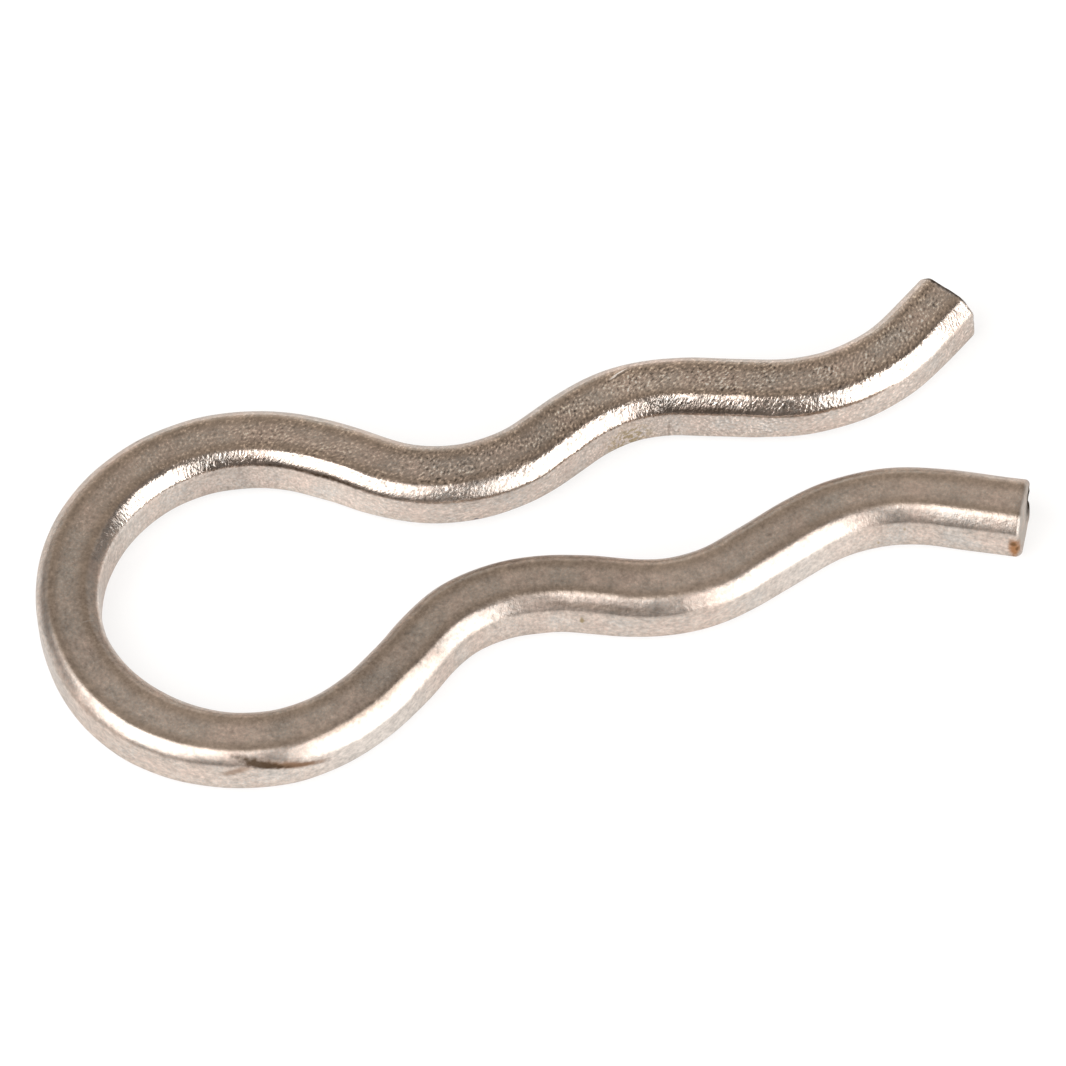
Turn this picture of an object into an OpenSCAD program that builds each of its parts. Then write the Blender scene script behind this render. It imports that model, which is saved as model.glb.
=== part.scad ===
// Waved spring cotter pin: one length of square wire, bent flat into a round eye and two waved legs.
// It lies flat. The origin is the middle of the eye, in the plane that the pin lies on.
// +X runs along the pin to its open tips, +Y to the leg with the steeper tip, and +Z is up.

/* [Wire] */
// Width of the square wire, across its flats
wire = 2; // [1.2:0.1:3.2]
// Radius of the wire's four long corners
corner_r = 0.5; // [0.2:0.05:0.55]
// Edge broken off all round each cropped end
end_break = 0.1; // [0.02:0.01:0.15]

/* [Eye] */
// Inside diameter of the round eye
eye_d = 8.9; // [7:0.1:14]
// Straight run from the eye to the neck bend
eye_run = 2; // [0.2:0.1:6]

/* [Neck] */
// Gap between the legs at the neck, on the eye's side of the seat
neck_gap = 2.4; // [1:0.1:3.4]
// Inside radius of the neck bend
neck_r = 4; // [2:0.1:8]
// Straight run from the neck bend to the seat bend
neck_run = 1.5; // [0.2:0.1:6]

/* [Seat] */
// Gap between the legs at the seat, where they bow out round a shaft
seat_gap = 5.2; // [4:0.1:6.5]
// Inside radius of the seat bend
seat_r = 3.8; // [2:0.1:8]
// Straight run from the seat bend to the mouth bend
seat_run = 2.5; // [0.2:0.1:6]

/* [Mouth] */
// Gap between the legs at the mouth, which springs open to let the shaft through
mouth_gap = 2.5; // [1:0.1:3.4]
// Inside radius of the mouth bend
mouth_r = 4.5; // [2:0.1:8]

/* [Tips] */
// Angle between the pin's length and the +Y leg's tip
left_flare = 35; // [5:1:60]
// Straight length of the +Y leg's tip
left_tip = 1.7; // [0.5:0.1:6]
// Angle between the pin's length and the -Y leg's tip
right_flare = 25; // [5:1:60]
// Straight length of the -Y leg's tip
right_tip = 2.7; // [0.5:0.1:6]

/* [Hidden] */
$fn = 96;

// Which way a bend turns, for someone who looks along the wire from the eye
left = 1;
right = -1;

// Middles: the bends' radii, and half the gaps, measured to the middle of the wire
half_wire = wire / 2;
eye_bend = eye_d / 2 + half_wire;
neck_bend = neck_r + half_wire;
seat_bend = seat_r + half_wire;
mouth_bend = mouth_r + half_wire;
neck_half = neck_gap / 2 + half_wire;
seat_half = seat_gap / 2 + half_wire;
mouth_half = mouth_gap / 2 + half_wire;

// Width of the wire's flats between its rounded corners
flat = wire - 2 * corner_r;

// Further than any bend reaches from the point where it starts
reach = 2 * (eye_bend + neck_bend + seat_bend + mouth_bend);

// The slope of a straight run between two opposite bends, where the wire gains a height over all three.
// It solves radii * (1 - cos(slope)) + run * sin(slope) = height, with radii the sum of both bend radii.
function slope(radii, run, height) =
    acos((radii - height) / norm([radii, run])) - atan2(run, radii);

eye_slope = slope(eye_bend + neck_bend, eye_run, eye_bend - neck_half);
neck_slope = slope(neck_bend + seat_bend, neck_run, seat_half - neck_half);
seat_slope = slope(seat_bend + mouth_bend, seat_run, seat_half - mouth_half);

// A turn is stated by its cosine and sine to six decimals. As rounded, most such pairs are slightly longer
// or shorter than one, and would stretch or shrink what they turn. So each bend's angle moves to the nearest
// one whose rounded pair is true, and runs and bends meet face to face. The true one is mostly less than
// 0.003 degrees away, and never more than 0.06.
function turn_pair(angle) = [for (part = [cos(angle), sin(angle)]) round(part * 1e6) / 1e6];
function is_true(pair) = abs(norm(pair) - 1) < 1e-8;
function true_turn(angle) =
    [for (step = [0:1000], side = [left, right])
        let (pair = turn_pair(angle + side * step * 6e-5)) if (is_true(pair)) pair][0];

// The wire's section: a square with four rounded corners.
module section() {
    square([wire, flat], center = true);
    square([flat, wire], center = true);
    for (x = [-1, 1], y = [-1, 1])
        translate([x, y] * flat / 2) circle(r = corner_r);
}

// All the space in front of the point that the wire has reached. The wire heads along +X there.
module space_ahead() {
    translate([0, -reach, -wire]) cube([reach, 2 * reach, 2 * wire]);
}

// Moves what is drawn at the start of a bend to the bend's end.
module at_bend_end(side, radius, angle) {
    pair = true_turn(angle);
    translate([0, side * radius, 0])
        multmatrix([[pair[0], -side * pair[1], 0, 0],
                    [side * pair[1], pair[0], 0, 0],
                    [0, 0, 1, 0]])
            translate([0, -side * radius, 0]) children();
}

// A flat bend: half a ring of wire, cut off square at the bend's end. The wire goes on from there.
module bend(side, radius, angle) {
    difference() {
        translate([0, side * radius, 0])
            rotate_extrude(angle = 180, start = -90) translate([radius, 0]) section();
        at_bend_end(side, radius, angle) space_ahead();
    }
    at_bend_end(side, radius, angle) children();
}

// A straight run. The wire goes on from its far end.
module straight(run) {
    rotate([90, 0, 90]) linear_extrude(run) section();
    translate([run, 0, 0]) children();
}

// The cropped end: the section drawn in all round by end_break, over a length of end_break.
module cropped_end() {
    for (roll = [0, 90])
        rotate([roll, 0, 0])
            linear_extrude(flat, center = true)
                polygon([[0, -half_wire], [end_break, end_break - half_wire],
                         [end_break, half_wire - end_break], [0, half_wire]]);
    for (y = [-1, 1], z = [-1, 1])
        translate([0, y * flat / 2, z * flat / 2])
            rotate([0, 90, 0]) cylinder(h = end_break, r1 = corner_r, r2 = corner_r - end_break);
}

// One leg and its half of the eye, in the order that a wire bender works, from the eye's crown to the tip.
module leg(flare, tip) {
    translate([-eye_bend, 0, half_wire])
        rotate(90)
        bend(right, eye_bend, 90 + eye_slope)
        straight(eye_run)
        bend(left, neck_bend, eye_slope + neck_slope)
        straight(neck_run)
        bend(right, seat_bend, neck_slope + seat_slope)
        straight(seat_run)
        bend(left, mouth_bend, seat_slope + flare)
        straight(tip - end_break)
        cropped_end();
}

module cotter_pin() {
    color("#b3a79b") {
        leg(left_flare, left_tip);
        mirror([0, 1, 0]) leg(right_flare, right_tip);
    }
}

cotter_pin();
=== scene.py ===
# %% [markdown]
# # A spring cotter pin bent from square wire
#
# A spring cotter pin is a single length of springy wire. A round eye joins two waved legs, and the
# legs snap over a shaft and hold it in the seat between their waves. Nothing on it is joined.
#
# The lesson builds the wire as one surface, gives it the finish of worn nickel plate, and lights it
# in a white studio. It starts from the measured solid that the pin was designed as: that solid gives
# the wire's width, the eye's size and the pin's place, and the surface made here takes its place in
# the picture.

# %% Tools and the measured frame
import bpy
import numpy as np
from mathutils import Matrix, Vector


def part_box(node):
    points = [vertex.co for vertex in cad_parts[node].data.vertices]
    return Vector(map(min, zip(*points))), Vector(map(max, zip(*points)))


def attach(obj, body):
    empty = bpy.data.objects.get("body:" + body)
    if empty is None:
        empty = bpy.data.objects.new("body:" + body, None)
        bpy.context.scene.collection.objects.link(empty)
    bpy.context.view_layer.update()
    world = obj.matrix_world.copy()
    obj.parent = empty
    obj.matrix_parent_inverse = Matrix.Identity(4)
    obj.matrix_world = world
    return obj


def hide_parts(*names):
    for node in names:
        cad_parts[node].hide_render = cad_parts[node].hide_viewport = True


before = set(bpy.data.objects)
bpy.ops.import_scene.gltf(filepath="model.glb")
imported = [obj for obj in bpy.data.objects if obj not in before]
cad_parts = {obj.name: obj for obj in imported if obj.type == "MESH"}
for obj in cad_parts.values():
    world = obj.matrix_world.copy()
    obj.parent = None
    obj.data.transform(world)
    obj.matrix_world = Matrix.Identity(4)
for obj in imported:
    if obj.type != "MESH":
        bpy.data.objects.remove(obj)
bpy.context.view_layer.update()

MM = 0.001
PIN = "cotter_pin"
low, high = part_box(PIN)
print("box in mm", [round(size / MM, 2) for size in high - low])

# %% [markdown]
# ## Sizes of the bends
#
# Shops that bend wire describe a part as a list of stretches: so many millimetres straight, then so
# many degrees round a peg of a certain radius. The pin is described in the same way here. The wire's
# width and the eye's diameter are read from the solid's box, because the pin lies flat and the eye
# is its widest place. The other sizes are the peg radii, the runs between them and the gaps.

# %% Sizes of the bends, in millimetres
wire = round((high.z - low.z) / MM, 1)
eye_d = round((high.y - low.y) / MM, 1) - 2 * wire
half_wire = wire / 2

neck_gap, seat_gap, mouth_gap = 2.4, 5.2, 2.5
neck_r, seat_r, mouth_r = 4.0, 3.8, 4.5
eye_run, neck_run, seat_run = 2.0, 1.5, 2.5
left_flare, left_tip = np.radians(35), 1.7
right_flare, right_tip = np.radians(25), 2.7

eye_bend, neck_bend, seat_bend, mouth_bend = (
    radius + half_wire for radius in (eye_d / 2, neck_r, seat_r, mouth_r))
neck_half, seat_half, mouth_half = (
    gap / 2 + half_wire for gap in (neck_gap, seat_gap, mouth_gap))
print(f"wire {wire} mm, eye {eye_d:.1f} mm inside")

# %% [markdown]
# ## One leg as a list of stretches
#
# Each straight run lies between two opposite bends. Its slope is whatever makes the leg's middle line
# gain the height between two gaps, so the slopes are solved and not typed in. A leg is then a short
# list: how sharply the wire turns in each stretch, and how long the stretch is.


# %% The stretches of a leg
def slope(radii, run, height):
    """Angle of a straight run between two opposite bends that together gain a height.

    It solves radii * (1 - cos(angle)) + run * sin(angle) = height, with radii the sum of both radii.
    """
    return np.arccos((radii - height) / np.hypot(radii, run)) - np.arctan2(run, radii)


eye_slope = slope(eye_bend + neck_bend, eye_run, eye_bend - neck_half)
neck_slope = slope(neck_bend + seat_bend, neck_run, seat_half - neck_half)
seat_slope = slope(seat_bend + mouth_bend, seat_run, seat_half - mouth_half)


def leg(flare, tip):
    """Turning and length of each stretch from the eye's crown to the tip, one row for each.

    A bend of radius r turns 1 / r radian in each millimetre, plus to the left and minus to the
    right, and is as long as r times its whole angle. A straight run turns nothing.
    """
    left, right = 1, -1
    bends = [(right, eye_bend, np.pi / 2 + eye_slope), (left, neck_bend, eye_slope + neck_slope),
             (right, seat_bend, neck_slope + seat_slope), (left, mouth_bend, seat_slope + flare)]
    runs = [eye_run, neck_run, seat_run, tip]
    rows = [[(side / radius, radius * angle), (0, run)]
            for (side, radius, angle), run in zip(bends, runs)]
    return np.concatenate(rows)


left_leg, right_leg = leg(left_flare, left_tip), leg(right_flare, right_tip)
left_length, right_length = left_leg[:, 1].sum(), right_leg[:, 1].sum()
print(f"wire length {left_length + right_length:.2f} mm")

# %% [markdown]
# ## Walking along the wire
#
# Blender could bend a straight bar with a Curve modifier, but then the rounding of each bend is
# hidden in the modifier. Here the middle line is walked instead. The heading is the running sum of
# the turning, and the place is the running sum of small steps in that heading. Distance along the
# wire is counted from the eye's crown: plus on the left leg, and minus on the right one.
#
# Real wire doesn't start to bend all at once where it meets the peg, so the turning is eased with a
# bell that is a little wider than half the wire. That moves the path by only hundredths of a
# millimetre, which the cell prints.


# %% The middle line
def turning_of(stretches, distance):
    """The turning of whichever stretch holds each distance along a leg."""
    ends = np.cumsum(stretches[:-1, 1])
    return stretches[np.searchsorted(ends, distance), 0]


def ease(values, width):
    """Blurs a row of samples with a raised-cosine bell that covers `width` samples."""
    bell = np.hanning(width + 2)[1:-1]
    padded = np.pad(values, len(bell) // 2, mode="edge")
    return np.convolve(padded, bell / bell.sum(), mode="valid")


def running_sum(rate, step):
    """The integral of a rate up to each sample: every step adds the mean of its two ends."""
    return np.concatenate([[0.0], np.cumsum(rate[1:] + rate[:-1]) * step / 2])


def walk(turning, along):
    """Heading and place at each sample of a line that turns as told.

    Heading is the integral of turning, and x and y are the integrals of its cosine and sine. All
    are shifted so that the line passes the eye's crown at distance 0, heading along +Y.
    """
    step = along[1] - along[0]
    heading = running_sum(turning, step)
    heading += np.pi / 2 - np.interp(0, along, heading)
    x, y = running_sum(np.cos(heading), step), running_sum(np.sin(heading), step)
    return heading, x - np.interp(0, along, x) - eye_bend, y - np.interp(0, along, y)


FINE = 0.02
EASE = 1.2
samples = round((left_length + right_length) / FINE)
along = np.linspace(-right_length, left_length, samples + 1)
sharp = np.where(along < 0, turning_of(right_leg, -along), turning_of(left_leg, along))
EASED_STEPS = 2 * round(EASE / FINE / 2) + 1
turning = ease(sharp, EASED_STEPS)
heading, path_x, path_y = walk(turning, along)
_, sharp_x, sharp_y = walk(sharp, along)
print("easing moves the path by up to",
      f"{np.hypot(path_x - sharp_x, path_y - sharp_y).max():.3f} mm")

# %% [markdown]
# ## The wire's section
#
# Square wire is round wire that was drawn through a square die. Its corners aren't true quarter
# circles: the die leaves a slightly flattened corner, with the tighter turns where it meets the two
# faces. That shows, because polished metal mirrors a different part of the room from each of them.
# Blender's Bevel would give true quarter circles, so the outline is made here instead.
#
# The outline is walked like the path, once round, and the four quarters are alike, so it closes by
# itself. Points are then spread so that corners get more of them than flats. A second outline has
# wider and flatter corners, for the places where the edge has been rubbed.

# %% The section's outline
CORNER_SAMPLES, OUTLINE_SAMPLES, EASED_SAMPLES = 500, 8001, 61
DISTANCE_SHARE = 0.55


def corner_turning(distance, length, flatness):
    """Turning through a corner: (90 degrees / length) * (1 + flatness * cos(a full wave))."""
    return np.pi / 2 / length * (1 + flatness * np.cos(2 * np.pi * distance / length))


def section(width, corner, flatness, count):
    """Outline of the wire, anticlockwise from the middle of the underside, and what goes with it.

    Gives lat (across the wire, plus to the left), z, the outward normal's two parts, and the
    distance walked round. Points are spread evenly in distance * DISTANCE_SHARE + turned angle.
    """
    fine = np.linspace(0, corner, CORNER_SAMPLES)
    turned = running_sum(corner_turning(fine, corner, flatness), fine[1])
    reach = running_sum(np.cos(turned), fine[1])[-1]
    flat = width - 2 * reach
    side = flat + corner
    around = np.linspace(0, 4 * side, OUTLINE_SAMPLES)
    step = around[1]
    into_corner = (around - flat / 2) % side
    rate = np.where(into_corner < corner, corner_turning(into_corner, corner, flatness), 0)
    angle = running_sum(ease(rate, EASED_SAMPLES), step)
    lat, z = running_sum(np.cos(angle), step), running_sum(np.sin(angle), step)
    spread = DISTANCE_SHARE * around + angle
    picks = np.interp(np.arange(count) / count * spread[-1], spread, around)
    lat, z, angle = (np.interp(picks, around, row) for row in (lat, z, angle))
    grow = width / np.ptp(z)
    return lat * grow, z * grow, np.sin(angle), -np.cos(angle), picks, 4 * side


AROUND = 96
CORNER, FLATNESS = 0.74, 0.6
WORN_CORNER, WORN_FLATNESS = 0.86, 1.0
ring_lat, ring_z, normal_lat, normal_z, ring_walk, ring_length = section(wire, CORNER, FLATNESS, AROUND)
worn_lat, worn_z = section(wire, WORN_CORNER, WORN_FLATNESS, AROUND)[:2]
print(f"section {np.ptp(ring_lat):.3f} x {np.ptp(ring_z):.3f} mm, {ring_length:.2f} mm round")

# %% [markdown]
# ## Rows of the surface, from end to end
#
# The whole wire is a grid: one row for each place along it, and one column for each point round the
# section. The two cropped ends belong to the same grid. There each row is the section drawn in a
# little more, first round the broken edge and then flat across the face, until one point closes it.
#
# Every row therefore has four numbers: its distance along the wire, how far the outline is drawn
# in, how much it is shrunk, and how far the surface has tilted over to face along the wire.

# %% The rows
END_BREAK = 0.15
BREAK_ROWS, FACE_ROWS, BODY_ROWS = 7, 8, 860

HALF_ROW = 0.5 / FACE_ROWS
over_edge = np.linspace(0, np.pi / 2, BREAK_ROWS + 1)[1:]
face = np.linspace(1, 0, FACE_ROWS + 1)[:-1]
tilt_out = np.concatenate([over_edge, np.full(FACE_ROWS, np.pi / 2)])
draw_in_out = np.concatenate([END_BREAK * (1 - np.cos(over_edge)), np.full(FACE_ROWS, END_BREAK)])
shrink_out = np.concatenate([np.ones(BREAK_ROWS), face * (1 - HALF_ROW)])
reach_out = np.concatenate([END_BREAK * np.sin(over_edge), np.full(FACE_ROWS, END_BREAK)])


def both_ends(outward, body):
    """A row quantity for the whole wire: the right end from its face in, the body, the left end."""
    return np.concatenate([outward[::-1], body, outward])


body = np.linspace(END_BREAK - right_length, left_length - END_BREAK, BODY_ROWS)
row_s = np.concatenate([body[0] - reach_out[::-1], body, body[-1] + reach_out])
row_tilt = both_ends(tilt_out, np.zeros(BODY_ROWS))
row_draw_in = both_ends(draw_in_out, np.zeros(BODY_ROWS))
row_shrink = both_ends(shrink_out, np.ones(BODY_ROWS))
ROWS = len(row_s)
print(ROWS, "rows of", AROUND, "points,", 2 * ROWS * AROUND, "triangles")

# %% [markdown]
# ## How this wire differs from an ideal one
#
# The wire is up to five hundredths of a millimetre wider on each side in some places, and narrower
# at the crown, where bending stretched it most. On the side that faces -Y its upper edge is rubbed,
# here more and there less. Short lists of (distance along the wire, value) say so, with straight
# lines between their values, so a place is easy to find and to change.
#
# The ideal outline and the worn one have the same number of points in the same order, so a share of
# the way from one to the other is enough. A share above 1 goes past the worn one. It fades out round
# the section, which leaves the other edges alone.


# %% Widths and wear
def ease_up(values, start, end):
    """0 up to `start`, 1 from `end` on, and a smooth S-curve between them: 3 t^2 - 2 t^3."""
    t = np.clip((values - start) / (end - start), 0, 1)
    return t * t * (3 - 2 * t)


def column(values):
    """Turns one value for each row into a column, so that it spreads over the whole grid."""
    return np.asarray(values)[:, None]


def between_pairs(distance, pairs):
    """Value at each distance, on straight lines between (distance, value) pairs."""
    return np.interp(distance, *np.transpose(pairs))


WIDENING = [(-17, 0.035), (-14, -0.01), (-7, -0.01), (-4, 0.05), (-0.5, -0.05), (4, 0.042)]
WEAR = [(-13.5, 0.9), (-12, 1.7), (-10, 1.7), (-8, 0), (3, 0), (5, 0.7), (7.5, 0.7), (9, 0),
        (16.5, 0), (18, 1)]
row_widening, row_worn = between_pairs(row_s, WIDENING), between_pairs(row_s, WEAR)
grid_s = np.repeat(column(row_s), AROUND, axis=1)
facing_front = ease_up(-ring_lat * np.sign(grid_s), -0.3, 0.3) * ease_up(ring_z, 0.7, 1.3)
worn = column(row_worn) * facing_front
outline_lat = ring_lat + worn * (worn_lat - ring_lat) + column(row_widening) * ring_lat / half_wire
outline_z = ring_z + worn * (worn_z - ring_z)
grid_lat = column(row_shrink) * (outline_lat - column(row_draw_in) * normal_lat)
grid_z = half_wire + column(row_shrink) * (outline_z - half_wire - column(row_draw_in) * normal_z)
places = np.stack([grid_s, grid_lat, grid_z], axis=-1)
print(f"{np.ptp(grid_lat, axis=1)[ROWS // 2]:.2f} mm wide at the eye's crown")

# %% [markdown]
# ## Small hills and hollows
#
# Drawn and bent wire is never quite true. Its faces have gentle hills a few thousandths of a
# millimetre high, which make reflections waver, and a cropped end is rougher because it tore as the
# blades met. Both are sums of plane waves in random directions. The waves run through the straight
# wire's own space, so they pass over corners with no seam. A Displace modifier could do this from a
# texture, but here each height is known in millimetres. Each tip also has its own flaw from the
# cropping blades: a nick in one end face, and a small burr on the other's top edge.


# %% Unevenness
def waves(places, height, shortest, longest, seed, count=48):
    """Height of random hills at each place: the sum of `count` cosines of plane waves.

    Each wave has a random direction, phase and wavelength. The sum is scaled so that its typical
    size, the root of its mean square, is `height`.
    """
    random = np.random.default_rng(seed)
    directions = random.normal(size=(3, count))
    directions /= np.linalg.norm(directions, axis=0)
    numbers = directions * 2 * np.pi / random.uniform(shortest, longest, count)
    phases = random.uniform(0, 2 * np.pi, count)
    return height * np.sqrt(2 / count) * np.cos(places @ numbers + phases).sum(axis=-1)


def lump(middle, radius, height):
    """A round bump, or a dent where height is negative: height * exp(-(distance / radius) squared)."""
    return height * np.exp(-(np.linalg.norm(places - middle, axis=-1) / radius) ** 2)


HILL_HEIGHT, TORN_HEIGHT = 0.0035, 0.012
hills = waves(places, HILL_HEIGHT, 0.9, 3.0, seed=4)
torn = waves(places, TORN_HEIGHT, 0.25, 0.9, seed=9) * np.sin(column(row_tilt))
nick = lump([-right_length, -0.95, 0.8], 0.30, -0.10)
burr = lump([left_length, -0.75, 1.95], 0.12, 0.06)
lift = hills + torn + nick + burr
grid_s = grid_s + lift * np.sin(column(row_tilt)) * np.sign(grid_s)
grid_lat = grid_lat + lift * np.cos(column(row_tilt)) * normal_lat
grid_z = grid_z + lift * np.cos(column(row_tilt)) * normal_z
print(f"hills up to {abs(hills).max():.4f} mm, torn ends up to {abs(torn).max():.3f} mm")

# %% [markdown]
# ## What bending does to the section
#
# On the outside of a bend the metal is stretched and gets thinner, and on the inside it is squeezed
# and gets thicker, so square wire comes out of a bend slightly wedge-shaped. The stretch is
# minus turning times the distance to the left of the middle line. Inner edges stay at full height
# here, and outer edges shrink by a share of the stretch between them.
#
# After that, each point of the straight wire is put beside the path: along the heading's left by its
# lat, and up by its z. Bending by hand also leaves the legs up to a tenth of a millimetre to one side
# of where they were drawn. That drift is listed in hundredths of a millimetre, plus to the left, and
# is added to the lat. The blades met the left leg a little askew, so the last millimetre of its
# inner side is drawn out to make that end face slant.


# %% Bending the straight wire
WEDGE = 0.2
SLANT = 0.05
HUNDREDTHS_IN_MM = 100
DRIFT = [(-33, 0), (-27, -5), (-23.5, 1), (-18, 9.5), (-15.2, -2), (-13, 7), (-11, 2), (-8.5, 6),
         (-6, 0), (10, -2), (13, 8), (16, -3), (19, -10), (22, -4), (27, -2), (31, -6), (33.6, -3)]
drift = ease(between_pairs(along, DRIFT), EASED_STEPS) / HUNDREDTHS_IN_MM


def bend(s, lat, z):
    """Carries points of the straight wire to the bent one.

    The place is the path at s, plus lat and drift times the path's left normal, and the height about
    the wire's middle is scaled by 1 - WEDGE * (stretch - the stretch of the inner edge).
    """
    turn = np.interp(s, along, turning)
    facing = np.interp(s, along, heading)
    stretch = -turn * lat
    lat = lat + np.interp(s, along, drift)
    height = 1 - WEDGE * (stretch + abs(turn) * half_wire)
    x = np.interp(s, along, path_x) - lat * np.sin(facing)
    y = np.interp(s, along, path_y) + lat * np.cos(facing)
    return np.stack([x, y, half_wire + (z - half_wire) * height], axis=-1), stretch


last_millimetre = np.clip(grid_s - left_length + 1, 0, 1) ** 2
points, stretch = bend(grid_s + SLANT * (1 - grid_lat / half_wire) * last_millimetre, grid_lat, grid_z)
end_s = np.array([row_s[0], row_s[-1]])
poles, _ = bend(end_s + [0, SLANT], np.zeros(2), np.full(2, half_wire))
poles -= [0, 0, points[..., 2].min()]
points -= [0, 0, points[..., 2].min()]
print("stretch", round(stretch.min(), 3), "to", round(stretch.max(), 3))

# %% [markdown]
# ## From arrays to a mesh
#
# Grid points are numbered row by row, and the two poles come last. A quad joins each pair of
# neighbours in one row to the pair in the next. The order of its corners decides which way it
# faces: the wire's left, its heading and up are arranged so that this order faces outwards. Fans of
# triangles close the two ends.
#
# Blender's Bevel and Screw tools could also make this shape, but arrays keep the wire's own
# coordinates at hand, and the finish needs those.

# %% Faces of the grid
index = np.arange(ROWS * AROUND).reshape(ROWS, AROUND)
next_index = np.roll(index, -1, axis=1)
quads = np.stack([index[:-1], next_index[:-1], next_index[1:], index[1:]], axis=-1).reshape(-1, 4)
first_pole, last_pole = ROWS * AROUND, ROWS * AROUND + 1
first_fan = np.stack([np.full(AROUND, first_pole), next_index[0], index[0]], axis=-1)
last_fan = np.stack([np.full(AROUND, last_pole), index[-1], next_index[-1]], axis=-1)
fans = np.concatenate([first_fan, last_fan])

vertices = np.concatenate([points.reshape(-1, 3), poles])
pin_mesh = bpy.data.meshes.new("square_wire_pin")
pin_mesh.from_pydata(vertices * MM, [], quads.tolist() + fans.tolist())
pin_mesh.polygons.foreach_set("use_smooth", np.ones(len(pin_mesh.polygons), bool))
pin = bpy.data.objects.new("square_wire_pin", pin_mesh)
bpy.context.collection.objects.link(pin)
print(len(pin_mesh.vertices), "vertices,", len(pin_mesh.polygons), "faces")

# %% [markdown]
# ## The wire's own coordinates
#
# Grain, scratches and stains follow the wire and not the room, so the finish needs to know where a
# point was before the wire was bent. Three attributes carry that with every vertex: its place in the
# straight wire, in millimetres, how much it was squeezed in bending, and how much darker or paler the
# surface is painted there. That last one is a slow change for the top face and another for the sides,
# each a base and a few bells: share * exp(-(distance from the bell's middle / its half length)
# squared).
# On the sides it is painted light and shade: paler where a side faces a softbox and mirrors the floor
# that it lights, darker where it faces the camera's dim side, and darker all along the left leg, whose
# sides mirror floor that the right leg shades. On the top it only makes the wire darker or paler along
# the legs.


# %% Attributes
def keep_with_points(name, kind, field, values):
    """Stores one value or vector with every vertex of the pin."""
    attribute = pin_mesh.attributes.new(name, kind, "POINT")
    attribute.data.foreach_set(field, np.ascontiguousarray(values, np.float32).ravel())


straight = np.stack([grid_s, grid_lat, grid_z], axis=-1).reshape(-1, 3)
straight_poles = np.stack([end_s, np.zeros(2), np.full(2, half_wire)], axis=-1)
keep_with_points("straight_wire", "FLOAT_VECTOR", "vector",
                 np.concatenate([straight, straight_poles]))
squeeze = np.concatenate([np.clip(-stretch, 0, None).ravel(), [0, 0]])
keep_with_points("squeeze", "FLOAT", "value", squeeze)
print(f"squeezed by up to {squeeze.max():.3f}")

# Side shares are painted light and shade: paler where the sides mirror lit floor, darker where they
# mirror dim room.
LIGHT_AND_TONE_BELLS = [  # middle, half length, share on the sides, share on the top
    (-31.0, 1.6, -0.06, 0.00), (-26.0, 2.5, 0.13, -0.09), (-20.5, 2.0, -0.04, 0.00),
    (-11.0, 2.5, 0.16, -0.08), (-5.0, 2.0, 0.00, 0.07), (0.0, 2.5, 0.16, -0.12), (5.0, 2.0, 0.13, 0.00),
    (9.5, 1.5, -0.10, 0.00), (13.3, 2.2, 0.16, 0.18), (18.5, 2.0, 0.03, 0.05), (24.5, 2.0, -0.06, 0.00),
    (31.0, 3.0, 0.16, 0.07)]
# Painted shade: the left leg's sides are darker, as they mirror floor that the right leg shades.
SIDE_SHADE = [(0, 0), (9, -0.10)]
TOP_TONE = [(8, -0.13), (9.5, -0.06), (12, -0.21), (20, -0.21), (22, -0.06)]
TOP_START, TOP_FULL = wire - 0.4, wire - 0.1

side_light_and_shade = between_pairs(row_s, SIDE_SHADE)
top_tone = between_pairs(abs(row_s), TOP_TONE)
for middle, half_length, side_share, top_share in LIGHT_AND_TONE_BELLS:
    bell = np.exp(-((row_s - middle) / half_length) ** 2)
    side_light_and_shade, top_tone = side_light_and_shade + side_share * bell, top_tone + top_share * bell
upness = ease_up(grid_z, TOP_START, TOP_FULL)
tone = column(side_light_and_shade) * (1 - upness) + column(top_tone) * upness
keep_with_points("tone", "FLOAT", "value", np.append(tone.ravel(), [0, 0]))
print(f"tone {tone.min():.2f} to {tone.max():.2f}")

# %% [markdown]
# ## A map for baking
#
# To bake a finish into a picture, Blender needs to know where each face lies on that picture. The
# usual unwrap tools would have to guess where to cut, but wire has an obvious map: it is unrolled
# into a strip. The strip is cut into three lengths that lie side by side, and the two end faces are
# put beside them, so that nothing is stretched.


# %% The unrolled map
STRIPS, MARGIN = 3, 0.25
TINY = 1e-6
is_face = row_tilt > np.pi / 2 - TINY
travel = np.concatenate([[0], np.cumsum(np.linalg.norm(np.diff(places[:, 0], axis=0), axis=-1))])
strip_rows = int(np.ceil(ROWS / STRIPS))
quad_row, quad_column = np.divmod(np.arange(len(quads)), AROUND)
corner_row = column(quad_row) + [0, 0, 1, 1]
corner_column = column(quad_column) + [0, 1, 1, 0]
round_walk = np.append(ring_walk, ring_length)
strip = quad_row // strip_rows
quad_map = np.stack([travel[corner_row] - column(travel[strip * strip_rows]),
                     round_walk[corner_column] + column(strip) * (ring_length + MARGIN)], axis=-1)

face_shift = np.array([wire + MARGIN, STRIPS * (ring_length + MARGIN) + half_wire])


def face_map(lat, z, far_end):
    """Places an end face flat on the map, beside its twin: lat to the right and z up."""
    return np.stack([lat + half_wire + far_end * face_shift[0], z + face_shift[1]], axis=-1)


on_face = is_face[quad_row] & is_face[quad_row + 1]
flat_lat, flat_z = (grid.ravel()[quads] for grid in (places[..., 1], places[..., 2]))
far_end = column(quad_row > ROWS // 2)
quad_map[on_face] = face_map(flat_lat, flat_z, far_end)[on_face]
fan_lat = np.append(places[..., 1].ravel(), [0, 0])[fans]
fan_z = np.append(places[..., 2].ravel(), [half_wire, half_wire])[fans]
fan_map = face_map(fan_lat, fan_z, column(np.arange(len(fans)) >= AROUND))

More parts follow.
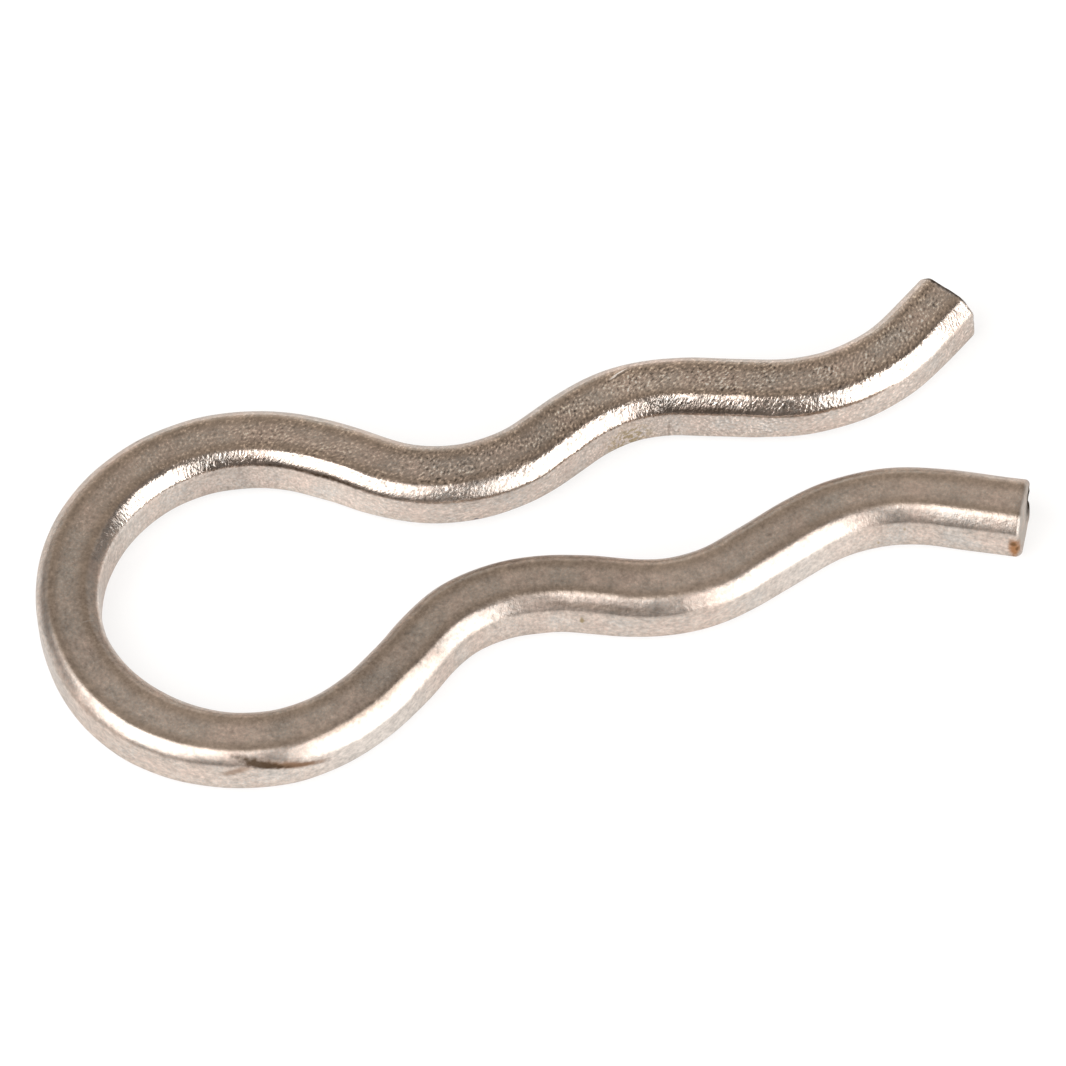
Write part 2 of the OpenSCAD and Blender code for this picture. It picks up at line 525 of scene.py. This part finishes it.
unrolled = np.concatenate([quad_map.reshape(-1, 2), fan_map.reshape(-1, 2)])
unrolled = (unrolled + MARGIN) / (unrolled.max() + 2 * MARGIN)
pin_map = pin_mesh.uv_layers.new(name="OFBake")
pin_map.uv.foreach_set("vector", unrolled.astype(np.float32).ravel())
print("map spans", unrolled.min(axis=0).round(3), unrolled.max(axis=0).round(3))

# %% [markdown]
# ## Helpers for shader nodes
#
# A material is a small graph. These helpers keep its recipe short: one adds a node and fills its
# inputs, where an input that is another node's output becomes a link, and the others name the few
# sums that the finish repeats.


# %% Node helpers
def node(tree, kind, inputs=None, **settings):
    """Adds a node. Inputs are found by name or number, and an output given as a value is linked."""
    made = tree.nodes.new(kind)
    for name, value in settings.items():
        setattr(made, name, value)
    for name, value in (inputs or {}).items():
        if isinstance(value, bpy.types.NodeSocket):
            tree.links.new(value, made.inputs[name])
        else:
            made.inputs[name].default_value = value
    return made


def maths(tree, operation, *values):
    """One sum of numbers, such as MULTIPLY or ADD."""
    return node(tree, "ShaderNodeMath", dict(enumerate(values)), operation=operation).outputs[0]


def between(tree, value, low_in, high_in, low_out=0.0, high_out=1.0):
    """Eases a value from one range to another, and holds it at the ends."""
    inputs = {"Value": value, "From Min": low_in, "From Max": high_in,
              "To Min": low_out, "To Max": high_out}
    return node(tree, "ShaderNodeMapRange", inputs, interpolation_type="SMOOTHSTEP").outputs[0]


def window(tree, value, opens, open_from, open_to, closes):
    """1 from `open_from` to `open_to`, and eased to 0 at `opens` and at `closes`."""
    return maths(tree, "MULTIPLY", between(tree, value, opens, open_from),
                 between(tree, value, open_to, closes, 1.0, 0.0))


def blend(tree, share, under, over):
    """Lays one colour over another: share 0 shows the one under, and share 1 the one over."""
    inputs = {0: share, 6: under, 7: over}
    return node(tree, "ShaderNodeMix", inputs, data_type="RGBA").outputs[2]


def noise(tree, places, scale, detail=2.0, stretch_by=(1, 1, 1), rough=0.5):
    """Noise in the straight wire's space. Scale is in waves for each millimetre."""
    size = node(tree, "ShaderNodeMapping", {"Vector": places, "Scale": stretch_by})
    inputs = {"Vector": size.outputs[0], "Scale": scale, "Detail": detail, "Roughness": rough}
    return node(tree, "ShaderNodeTexNoise", inputs).outputs["Fac"]


def new_material(name):
    """An empty material and its tree, with only the output node left in it."""
    material = bpy.data.materials.new(name)
    material.use_nodes = True
    tree = material.node_tree
    tree.nodes.clear()
    return material, tree, tree.nodes.new("ShaderNodeOutputMaterial")


# %% [markdown]
# ## Worn nickel plate
#
# Nickel is a warm white metal. Its colour is how much red, green and blue it mirrors, and it is
# never one flat value: thin oxide shifts it a little to pink in one place and to blue in another. A
# picture of real plate would bring its highlights along, so noise mixes plain colours instead. A
# darker line runs along the rims of the flats, most of all on the top face.

# %% The plate's colour
NICKEL = (0.600, 0.513, 0.452, 1)
PINK = (0.650, 0.528, 0.460, 1)
BLUE = (0.560, 0.515, 0.475, 1)
SHEEN_WHITE = (0.600, 0.552, 0.510, 1)
EDGE_LINE = (0.440, 0.355, 0.290, 1)
EDGE_TINT = (0.74, 0.72, 0.70, 1)

plate, tree, output = new_material("worn_nickel_plate")
own_place = node(tree, "ShaderNodeAttribute", attribute_name="straight_wire").outputs["Vector"]
axes = node(tree, "ShaderNodeSeparateXYZ", {0: own_place})
s_axis, lat_axis, z_axis = axes.outputs

patches = noise(tree, own_place, 0.8, detail=3.0)
freckles = noise(tree, own_place, 14.0, detail=2.0)
tint = maths(tree, "MULTIPLY_ADD", freckles, 0.5, maths(tree, "MULTIPLY", patches, 0.5))
colour = blend(tree, between(tree, tint, 0.50, 0.62), NICKEL, PINK)
colour = blend(tree, between(tree, tint, 0.50, 0.38), colour, BLUE)

side_place = maths(tree, "ABSOLUTE", lat_axis)
rise_place = maths(tree, "ABSOLUTE", maths(tree, "SUBTRACT", z_axis, half_wire))
off_centre = maths(tree, "MINIMUM", side_place, rise_place)
on_top = between(tree, z_axis, TOP_START, TOP_FULL)
on_rim = window(tree, off_centre, 0.15, 0.48, 0.54, 0.66)
line_share = maths(tree, "MULTIPLY_ADD", on_top, 0.65, 0.20)
colour = blend(tree, maths(tree, "MULTIPLY", on_rim, line_share), colour, EDGE_LINE)
print(plate.name, "mixes its colour with", len(tree.nodes), "nodes")

# %% [markdown]
# ## Grain, orange peel and polish
#
# Under the plate the steel has a grain. Bending opens it up, and most of all where the metal was
# squeezed, so the inside of each bend has a skin like orange peel while the outside stays smooth.
# Both are real height, but only a few thousandths of a millimetre, far below the mesh's grid.
# They are bump, and their heights are written in millimetres.
#
# The left leg is coarse but well polished, and its grain slants across the wire, while the rest is
# finer and duller. So the shares here are eased along s, the distance from the eye's crown. One edge
# near the neck was ironed smooth by the bending peg.

# %% Grain, orange peel and polish
GRAIN_HEIGHT, FINE_GRAIN_HEIGHT, PEEL_HEIGHT, BLOB_HEIGHT = 0.013, 0.0035, 0.085, 0.007
ONTO_LEFT_LEG = (0.5, 6.5)
ROUGH_EYE, ROUGH_LEFT_LEG, ROUGHER_NECK = 0.33, 0.15, 0.13

squeezed = node(tree, "ShaderNodeAttribute", attribute_name="squeeze").outputs["Fac"]
lean = maths(tree, "MULTIPLY", lat_axis, between(tree, s_axis, -5.0, 18.0, 0.0, -0.45))
leaning_s = maths(tree, "ADD", s_axis, lean)
leaning = node(tree, "ShaderNodeCombineXYZ", {0: leaning_s, 1: lat_axis, 2: z_axis}).outputs[0]
grain = noise(tree, leaning, 1.0, detail=2.0, stretch_by=(12, 7, 7))
fine_grain = noise(tree, leaning, 1.0, detail=1.0, stretch_by=(26, 16, 16))
peel = noise(tree, leaning, 1.0, detail=1.5, stretch_by=(8, 6, 6))
blobs = noise(tree, own_place, 6.5, detail=1.0)

coarse = maths(tree, "MULTIPLY", between(tree, s_axis, *ONTO_LEFT_LEG, 0.08, 1.0),
               between(tree, lat_axis, 0.50, 0.75, 1.0, 0.25))
ironed = maths(tree, "MULTIPLY", window(tree, s_axis, 9.5, 11.5, 14.5, 16.5),
               between(tree, lat_axis, -0.15, -0.45))
coarse = maths(tree, "MULTIPLY", coarse, maths(tree, "MULTIPLY_ADD", ironed, -0.65, 1.0))
soft = between(tree, s_axis, -11.0, -16.5, 0.0, 1.0)
grain_height = maths(tree, "MULTIPLY", grain, maths(tree, "MULTIPLY", coarse, GRAIN_HEIGHT))
peel_share = maths(tree, "MULTIPLY", maths(tree, "MULTIPLY", squeezed, coarse), PEEL_HEIGHT)
height = maths(tree, "MULTIPLY_ADD", peel, peel_share, grain_height)
height = maths(tree, "MULTIPLY_ADD", blobs, maths(tree, "MULTIPLY", soft, BLOB_HEIGHT), height)
height = maths(tree, "MULTIPLY_ADD", fine_grain, FINE_GRAIN_HEIGHT, height)
skin = node(tree, "ShaderNodeBump", {"Strength": 1.0, "Distance": MM, "Height": height})

at_neck = window(tree, s_axis, 13.5, 15.5, 17.5, 19.5)
roughness = between(tree, s_axis, *ONTO_LEFT_LEG, ROUGH_EYE, ROUGH_LEFT_LEG)
roughness = maths(tree, "MULTIPLY_ADD", at_neck, ROUGHER_NECK, roughness)
roughness = maths(tree, "ADD", roughness, between(tree, patches, 0.3, 0.7, -0.03, 0.04))
print("grain up to", GRAIN_HEIGHT, "mm high, orange peel up to", PEEL_HEIGHT, "mm times the squeeze")

# %% [markdown]
# ## Painted glints, specks and slow changes of tone
#
# Up close the plate glitters. One noise gives painted glints from its high values: specks where the
# colour is made brighter than the plate, which stand in for light caught by the grain, most of all on
# the top face. Its low values give darker pits. Wider noises make clouds and mottles at random, and
# the attribute from before adds the slow changes along the legs, which on the sides are painted light
# and shade. All of them are shares by which the colour is made brighter or darker.

# %% Painted glints, specks and slow changes of tone
sparkle = noise(tree, leaning, 1.0, detail=2.0, stretch_by=(11, 9.5, 9.5))
clusters = between(tree, noise(tree, own_place, 1.3, detail=1.0), 0.35, 0.65, 0.65, 1.35)
speckled = maths(tree, "MULTIPLY", between(tree, s_axis, 1.0, 14.0, 0.14, 1.0),
                 between(tree, s_axis, 19.0, 26.0, 1.0, 1.4))
speckled = maths(tree, "MULTIPLY", speckled, between(tree, lat_axis, 0.45, 0.75, 1.0, 0.3))
speck_share = maths(tree, "MULTIPLY", speckled,
                    maths(tree, "MULTIPLY", clusters, maths(tree, "MULTIPLY_ADD", on_top, 0.7, 0.3)))
# Painted glints: specks of colour brighter than the plate, in place of light caught by the grain.
painted_glints = maths(tree, "MULTIPLY", between(tree, sparkle, 0.52, 0.72), 0.95)
pits = maths(tree, "MULTIPLY", between(tree, sparkle, 0.48, 0.30), -0.42)
specks = maths(tree, "MULTIPLY", maths(tree, "ADD", painted_glints, pits), speck_share)

# The slow changes from the attribute: painted light and shade on the sides, darker or paler stretches
# on the top.
slow_light_and_tone = node(tree, "ShaderNodeAttribute", attribute_name="tone").outputs["Fac"]
clouds = maths(tree, "SUBTRACT", noise(tree, own_place, 2.6, detail=3.0), 0.5)
mottle = maths(tree, "SUBTRACT", noise(tree, own_place, 7.5, detail=3.0, rough=0.65), 0.5)
cloud_share = maths(tree, "MULTIPLY_ADD", on_top, 0.20, 0.40)
tone = maths(tree, "MULTIPLY_ADD", clouds, cloud_share, slow_light_and_tone)
mottle_share = between(tree, s_axis, 1.0, 12.0, maths(tree, "MULTIPLY_ADD", on_top, -0.40, 1.25),
                       maths(tree, "MULTIPLY_ADD", on_top, -0.70, 1.00))
tone = maths(tree, "MULTIPLY_ADD", mottle, mottle_share, tone)
# Where the attribute makes the surface paler, the colour also turns whiter: on the sides a painted
# reflection of the lit white floor.
colour = blend(tree, between(tree, slow_light_and_tone, 0.0, 0.20), colour, SHEEN_WHITE)
brightness = maths(tree, "ADD", maths(tree, "ADD", tone, specks), 1.0)
colour = node(tree, "ShaderNodeVectorMath", {0: colour, "Scale": brightness},
              operation="SCALE").outputs[0]
print(plate.name, "has", len(tree.nodes), "nodes with its specks")

# %% [markdown]
# ## Torn end faces
#
# Where the blades cropped the wire it tore, so each end face is greyer, patchy and less polished. No
# second material is needed for that: the last tenth of a millimetre of the straight wire is blended
# over to a torn one.

# %% Torn end faces
TORN = (0.50, 0.46, 0.42, 1)
TORN_FROM, TORN_FULL, TORN_ROUGHER = 0.12, 0.03, 0.15

past_left = between(tree, s_axis, left_length - TORN_FROM, left_length - TORN_FULL)
past_right = between(tree, s_axis, TORN_FROM - right_length, TORN_FULL - right_length)
on_end = maths(tree, "MAXIMUM", past_left, past_right)
torn_patches = between(tree, noise(tree, own_place, 2.2, detail=3.0), 0.40, 0.60, 0.25, 0.95)
colour = blend(tree, maths(tree, "MULTIPLY", on_end, torn_patches), colour, TORN)
roughness = maths(tree, "MULTIPLY_ADD", on_end, TORN_ROUGHER, roughness)
print(plate.name, "has", len(tree.nodes), "nodes with its end faces")

# %% [markdown]
# ## Stains, rust, scratches and painted dark reflections
#
# Plate fails first where it was cropped or rubbed. Rust blooms from the bare cut at one tip, the eye
# carries a brown stain, and a few scratches and specks of dirt lie along the legs.
#
# Marks could be painted on a map, but a list is easier to read and to change. Each mark is an
# ellipsoid in the straight wire's space: a place (distance along the wire, lat and z), three half
# sizes and a turn. It has a colour, a share that says how thickly it covers the plate, and a
# dullness, because rust and dirt are not metal and don't mirror. The long thin ones under the rubbed
# edge are painted dark reflections: brown lines that stand in for the dark gap between the softboxes,
# mirrored there. A dark line along the left tip's top cut edge is a painted dark reflection too.

# %% The list of marks
RUST, BROWN, SOOT = (0.40, 0.17, 0.05, 1), (0.100, 0.060, 0.030, 1), (0.020, 0.014, 0.010, 1)
OCHRE, SCUFF, SLATE = (0.34, 0.26, 0.13, 1), (0.80, 0.76, 0.72, 1), (0.10, 0.12, 0.16, 1)
TAN, UMBER = (0.235, 0.130, 0.070, 1), (0.075, 0.047, 0.028, 1)
UP_TILT, DOWN_TILT = (0, np.radians(-19), 0), (0, np.radians(32), 0)
STROKE = (0, 0, np.radians(19))

MARKS = [  # middle, half sizes, turn, colour, share, dullness
    ((-8.45, 1.00, 1.46), (1.05, 0.50, 0.20), UP_TILT, TAN, 0.90, 0.7),
    ((-7.00, 1.00, 1.44), (0.60, 0.40, 0.18), DOWN_TILT, TAN, 0.55, 0.4),
    ((-7.70, 0.88, 1.66), (0.95, 0.50, 0.17), UP_TILT, UMBER, 0.95, 0.8),
    ((-33.54, 1.00, 0.88), (0.22, 0.35, 0.56), (0, 0, 0), RUST, 0.85, 1.0),
    ((-33.51, 1.00, 1.10), (0.13, 0.30, 0.13), (0, 0, 0), BROWN, 0.60, 1.0),
    ((-33.62, 1.00, 0.84), (0.06, 0.25, 0.12), (0, 0, 0), BROWN, 0.60, 1.0),
    ((-right_length, -0.95, 0.92), (0.30, 0.85, 0.82), (0, 0, 0), SOOT, 1.00, 1.0),
    # Painted dark reflection: a dark line along the left tip's top cut edge, in place of a dark part of
    # the room mirrored there.
    ((left_length - 0.06, 0.00, 2.00), (0.13, 1.90, 0.26), (0, 0, 0), SOOT, 0.85, 0.9),
    ((22.52, 0.55, 1.98), (0.36, 0.028, 0.20), STROKE, SCUFF, 0.90, 0.9),
    ((22.60, 0.49, 1.98), (0.36, 0.028, 0.20), STROKE, SOOT, 0.60, 0.6),
    ((22.36, 0.46, 2.00), (0.16, 0.022, 0.20), STROKE, SCUFF, 0.80, 0.9),
    ((29.46, -0.86, 1.84), (0.025, 0.22, 0.30), (0, 0, 0), SCUFF, 0.85, 0.9),
    ((29.28, -0.80, 1.86), (0.020, 0.20, 0.24), (0, 0, 0.3), SCUFF, 0.60, 0.9),
    ((23.85, -1.00, 0.80), (0.070, 0.20, 0.70), (0, 0.08, 0), BROWN, 0.32, 0.4),
    ((-19.53, 1.00, 1.14), (0.09, 0.20, 0.18), (0, 0, 0), OCHRE, 0.80, 0.8),
    ((7.23, 0.28, 2.00), (0.06, 0.05, 0.20), (0, 0, 0), SOOT, 0.50, 0.6),
    ((6.88, 0.89, 1.82), (0.07, 0.07, 0.07), (0, 0, 0), SOOT, 0.50, 0.6),
    ((-28.96, 1.00, 0.66), (0.06, 0.20, 0.09), (0, 0, 0), OCHRE, 0.60, 0.5),
    ((-29.98, 1.00, 1.28), (0.06, 0.20, 0.10), (0, 0, 0), OCHRE, 0.60, 0.5),
    ((16.96, -1.00, 0.45), (0.07, 0.20, 0.06), (0, 0, 0), SLATE, 0.80, 0.6),
    # Painted dark reflections: long brown lines under the rubbed edge, in place of the gap between the
    # softboxes mirrored there.
    ((12.60, -0.86, 1.66), (4.30, 0.26, 0.11), (0, 0, 0), UMBER, 1.00, 0.2),
    ((25.20, -0.86, 1.65), (2.20, 0.28, 0.12), (0, 0, 0), UMBER, 0.80, 0.2),
    ((-3.20, 0.86, 1.66), (3.60, 0.25, 0.11), (0, 0, 0), BROWN, 0.35, 0.2),
    ((-19.90, 0.80, 1.70), (2.60, 0.24, 0.13), (0, 0, 0), BROWN, 0.52, 0.1),
    ((-31.30, 0.84, 1.66), (2.40, 0.24, 0.12), (0, 0, 0), BROWN, 0.25, 0.1),
    ((-0.03, -0.55, 2.00), (0.030, 0.22, 0.20), (0, 0, 0), SCUFF, 0.25, 0.3)]

print(len(MARKS), "marks, the longest", 2 * max(max(sizes) for _, sizes, *_ in MARKS), "mm")

# %% [markdown]
# ## Laying the marks on the plate
#
# A Mapping node of the kind TEXTURE carries the point into the mark's own space, where the ellipsoid
# is a ball of radius 1. The distance from its middle, roughened with noise, is eased into a share.
# Marks are laid on one after the other, so a later one covers an earlier one. The last is a patch of
# freckles, which shows only where a second noise is high.


# %% Laying the marks on
ragged = maths(tree, "MULTIPLY_ADD", noise(tree, own_place, 7.0, detail=4.0), 0.8, -0.4)


def cover(middle, sizes, turned):
    """How fully a mark covers each point: 1 in its middle, 0 past its ragged outline."""
    inputs = {"Vector": own_place, "Location": middle, "Rotation": turned, "Scale": sizes}
    inside = node(tree, "ShaderNodeMapping", inputs, vector_type="TEXTURE").outputs[0]
    length = node(tree, "ShaderNodeVectorMath", {0: inside}, operation="LENGTH").outputs["Value"]
    return between(tree, maths(tree, "ADD", length, ragged), 1.20, 0.35)


dullness = 0.0
for middle, sizes, turned, mark_colour, share, dull in MARKS:
    covered = maths(tree, "MULTIPLY", cover(middle, sizes, turned), share)
    colour = blend(tree, covered, colour, mark_colour)
    dullness = maths(tree, "MAXIMUM", dullness, maths(tree, "MULTIPLY", covered, dull))

freckled = maths(tree, "MULTIPLY", cover((22.2, -1.0, 0.70), (1.25, 0.5, 0.80), (0, 0, 0)),
                 between(tree, noise(tree, own_place, 7.0, detail=2.0), 0.46, 0.58))
colour = blend(tree, maths(tree, "MULTIPLY", freckled, 0.75), colour, OCHRE)
dullness = maths(tree, "MAXIMUM", dullness, maths(tree, "MULTIPLY", freckled, 0.35))
print(plate.name, "has", len(tree.nodes), "nodes with its marks")

# %% [markdown]
# ## The plate's shader
#
# Rust and dirt aren't metal, so where a mark is dull the shader is less metallic and rougher. A
# metal's edge tint is the colour that it mirrors at a grazing angle: a little under white here,
# because worn plate loses some of its mirror there.

# %% The plate's shader
DULL_ROUGHER = 0.35
roughness = maths(tree, "MULTIPLY_ADD", dullness, DULL_ROUGHER, roughness)
metal = maths(tree, "SUBTRACT", 1.0, dullness)

shader = node(tree, "ShaderNodeBsdfPrincipled",
              {"Base Color": colour, "Metallic": metal, "Roughness": roughness,
               "Specular IOR Level": 0.0, "Specular Tint": EDGE_TINT, "Normal": skin.outputs[0]})
tree.links.new(shader.outputs[0], output.inputs["Surface"])
pin_mesh.materials.append(plate)
print(plate.name, "has", len(tree.nodes), "nodes")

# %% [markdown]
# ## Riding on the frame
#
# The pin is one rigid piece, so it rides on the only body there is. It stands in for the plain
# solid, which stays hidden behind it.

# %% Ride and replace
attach(pin, "root")
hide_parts(PIN)
print(pin.name, "stands for", PIN)

# %% [markdown]
# ## A white floor
#
# Small parts are often shown on a white sweep. The floor is a pale matt plane that catches the pin's
# shadow. What is seen of it, directly or in the metal's reflections, gets some light of its own on
# top, so that it reads as clean white without more light on the pin.

# %% The floor
FLOOR = 3.0
PALE = (0.32, 0.32, 0.32, 1)
OWN_LIGHT = 0.71

corners = np.array([(-1, -1, 0), (1, -1, 0), (1, 1, 0), (-1, 1, 0)]) * FLOOR
floor_mesh = bpy.data.meshes.new("white_floor")
floor_mesh.from_pydata(corners + [0, 0, low.z], [], [(0, 1, 2, 3)])
floor = bpy.data.objects.new("white_floor", floor_mesh)
bpy.context.collection.objects.link(floor)


def seen_directly(tree):
    """1 for rays that show a surface as it is: from the camera, in a mirror, or through glass."""
    path = node(tree, "ShaderNodeLightPath")
    seen = maths(tree, "MAXIMUM", path.outputs["Is Camera Ray"], path.outputs["Is Glossy Ray"])
    return maths(tree, "MAXIMUM", seen, path.outputs["Is Transmission Ray"])


floor_paint, tree, output = new_material("white_floor_paint")
satin = node(tree, "ShaderNodeBsdfPrincipled", {"Base Color": PALE, "Roughness": 0.25})
glow_strength = maths(tree, "MULTIPLY", seen_directly(tree), OWN_LIGHT)
glow = node(tree, "ShaderNodeEmission", {"Color": (1, 1, 1, 1), "Strength": glow_strength})
both = node(tree, "ShaderNodeAddShader", {0: satin.outputs[0], 1: glow.outputs[0]})
tree.links.new(both.outputs[0], output.inputs["Surface"])
floor_mesh.materials.append(floor_paint)
print("floor", 2 * FLOOR, "m wide")

# %% [markdown]
# ## Softboxes
#
# Polished metal has almost no look of its own: it shows what is around it. Two large softboxes give
# it its bright bands, one low to the right and one high to the left. A wide soft source also keeps
# the shadows soft. Area lamps are used, and not glowing planes, because they make less noise.
#
# Each softbox is placed by the direction it shines from. Its power is worked out from its area, so
# that both are equally bright to look at, whatever their size.

# %% The softboxes
LIGHT_DISTANCE = 0.5
BRIGHTNESS = 2.8


def direction(azimuth, elevation):
    """Unit vector for an azimuth from +X towards +Y and an elevation above the floor, in degrees."""
    a, e = np.radians([azimuth, elevation])
    return Vector((np.cos(a) * np.cos(e), np.sin(a) * np.cos(e), np.sin(e)))


def softbox(name, shape, azimuth, elevation, width, tall):
    """A flat light that faces the pin. Power is brightness times area times pi."""
    lamp = bpy.data.lights.new(name, "AREA")
    lamp.shape = shape
    lamp.size, lamp.size_y = width, tall
    filled = np.pi / 4 if shape == "ELLIPSE" else 1
    lamp.energy = BRIGHTNESS * width * tall * filled * np.pi
    box = bpy.data.objects.new(name, lamp)
    towards = direction(azimuth, elevation)
    box.location = (low + high) / 2 + towards * LIGHT_DISTANCE
    box.rotation_euler = towards.to_track_quat("Z", "Y").to_euler()
    box.visible_camera = False
    bpy.context.collection.objects.link(box)
    return box


right_box = softbox("right_softbox", "RECTANGLE", -51, 25, 0.47, 0.47)
left_box = softbox("left_softbox", "ELLIPSE", 196, 50, 0.62, 0.62)
print("softboxes at", [tuple(round(c, 3) for c in box.location) for box in (right_box, left_box)])

# %% [markdown]
# ## The room
#
# A dim warm room fills the rest of what the metal shows. Real walls aren't needed: the world is a
# plain colour with a few broad patches, each a direction and a reach in degrees, paler or darker
# than the rest. The camera itself sees white in their place.

# %% The room
ROOM = (0.34, 0.31, 0.285, 1)
ROOM_PATCHES = [("wall behind", 85, 45, 60, (0.500, 0.452, 0.402, 1)),
                ("low light behind", 78, 6, 56, (0.70, 0.64, 0.57, 1)),
                ("dark corner at the right", -4, 36, 28, (0.25, 0.23, 0.215, 1)),
                ("pale door behind", 37, 10, 34, (0.62, 0.57, 0.52, 1)),
                ("dark side of the camera", -103, 14, 40, (0.220, 0.197, 0.178, 1)),
                ("pale wall at the left", 185, 0, 34, (0.70, 0.63, 0.59, 1))]

world = bpy.data.worlds.new("studio_room")
bpy.context.scene.world = world
world.use_nodes = True
tree = world.node_tree
tree.nodes.clear()
looking = node(tree, "ShaderNodeTexCoord").outputs["Generated"]
room = ROOM
for name, azimuth, elevation, reach, patch_colour in ROOM_PATCHES:
    towards = node(tree, "ShaderNodeVectorMath", {0: looking, 1: direction(azimuth, elevation)},
                   operation="DOT_PRODUCT").outputs["Value"]
    edge, core = np.cos(np.radians([reach, reach / 3]))
    room = blend(tree, between(tree, towards, edge, core), room, patch_colour)
dim = node(tree, "ShaderNodeBackground", {"Color": room, "Strength": 1.0})
white = node(tree, "ShaderNodeBackground", {"Color": (1, 1, 1, 1), "Strength": 1.0})
camera_ray = node(tree, "ShaderNodeLightPath").outputs["Is Camera Ray"]
mixed = node(tree, "ShaderNodeMixShader", {0: camera_ray, 1: dim.outputs[0], 2: white.outputs[0]})
node(tree, "ShaderNodeOutputWorld", {"Surface": mixed.outputs[0]})
print("room with", len(ROOM_PATCHES), "patches")

# %% [markdown]
# ## The camera
#
# The pin is looked down on from the front with a very long lens, from half a metre away, so that
# its two legs keep their true proportions. The camera is tipped a little to one side, which lets
# the pin run up the picture. It aims close to the middle of the pin's box.

# %% The camera
CAMERA_TURN, CAMERA_HEIGHT, CAMERA_ROLL = np.radians([-9.36833, 57.1195, -5.98194])
CAMERA_DISTANCE = 0.49881
LENS, SENSOR = 550.94, 36
AIM_OFFSET = Vector((0.256, -0.172, 0)) * MM

back = Vector((np.sin(CAMERA_TURN) * np.cos(CAMERA_HEIGHT),
               -np.cos(CAMERA_TURN) * np.cos(CAMERA_HEIGHT), np.sin(CAMERA_HEIGHT)))
right = Vector((0, 0, 1)).cross(back).normalized()
up = back.cross(right)
rolled_right = right * np.cos(CAMERA_ROLL) + up * np.sin(CAMERA_ROLL)
rolled_up = up * np.cos(CAMERA_ROLL) - right * np.sin(CAMERA_ROLL)

lens = bpy.data.cameras.new("long_lens")
lens.lens, lens.sensor_width = LENS, SENSOR
lens.clip_start, lens.clip_end = 0.01, 20
camera = bpy.data.objects.new("camera", lens)
turn = Matrix((rolled_right, rolled_up, back)).transposed().to_4x4()
camera.matrix_world = Matrix.Translation((low + high) / 2 + AIM_OFFSET + back * CAMERA_DISTANCE) @ turn
bpy.context.collection.objects.link(camera)
bpy.context.scene.camera = camera
bpy.context.scene.view_settings.view_transform = "Standard"
print("camera at", tuple(round(c, 4) for c in camera.matrix_world.translation))
